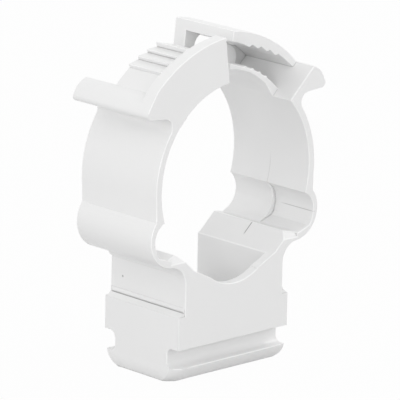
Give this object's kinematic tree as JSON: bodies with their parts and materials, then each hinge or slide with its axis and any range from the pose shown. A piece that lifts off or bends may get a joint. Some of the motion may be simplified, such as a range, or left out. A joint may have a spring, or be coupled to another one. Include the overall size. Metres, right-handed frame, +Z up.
{
  "type": "snap pipe clip",
  "caption": "One-piece plastic clip that snaps around a pipe, with a ratchet lock on top and a grooved foot for a rail.",
  "frame": {"origin": "middle of the flat underside of the foot, which is the bottom face of the bounding box", "axes": "+Z up from the foot to the lock, Y along the pipe with the lock's cheek on the -Y side, X across the two arms"},
  "size_m": [0.0432, 0.02, 0.0625],
  "materials": {
    "clip_plastic": "white moulded plastic, satin"
  },
  "bodies": {
    "root": {"pipe_clip": "clip_plastic"}
  },
  "joints": []
}
